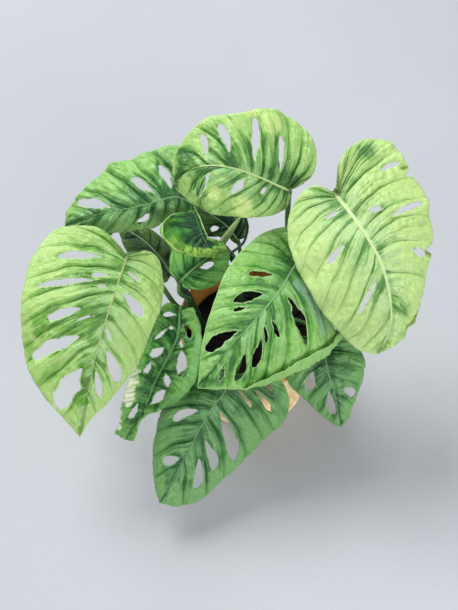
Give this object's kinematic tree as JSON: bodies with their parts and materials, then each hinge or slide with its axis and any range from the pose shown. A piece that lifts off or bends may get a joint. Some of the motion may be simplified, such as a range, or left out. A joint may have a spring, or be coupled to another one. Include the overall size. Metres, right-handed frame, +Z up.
{
  "type": "potted swiss cheese vine",
  "caption": "Potted climbing houseplant with broad holed leaves on arching stalks, in a nursery pot with a crinkled paper cover.",
  "frame": {"origin": "centre of the paper cover's underside, on the surface the pot stands on", "axes": "+Z up; the leaves lean towards -Y, the side the picture is taken from; +X to the right of that view"},
  "size_m": [0.3055, 0.2429, 0.2524],
  "materials": {
    "leaf_bright": "glossy quilted yellow-green leaf",
    "leaf_fresh": "glossy quilted mid-green leaf",
    "leaf_deep": "glossy quilted dark-green leaf",
    "leaf_shaded": "satin olive-green leaf",
    "stem": "smooth dark-green stem",
    "pot_plastic": "satin amber-brown plastic",
    "cover_paper": "crinkled natural paper",
    "potting_mix": "damp dark potting mix"
  },
  "bodies": {
    "root": {"leaf_left_large": "leaf_bright", "leaf_right_large": "leaf_bright", "leaf_top": "leaf_fresh", "leaf_upper_left": "leaf_fresh", "leaf_centre": "leaf_fresh", "leaf_front_low": "leaf_deep", "leaf_right_low": "leaf_deep", "leaf_left_curled": "leaf_deep", "leaf_small_cupped": "leaf_deep", "leaf_small_round": "leaf_deep", "leaf_back_left": "leaf_shaded", "leaf_back": "leaf_shaded", "stem_left": "stem", "stem_right": "stem", "stem_front": "stem", "stem_back": "stem", "pot": "pot_plastic", "paper_cover": "cover_paper", "soil": "potting_mix"}
  },
  "joints": []
}
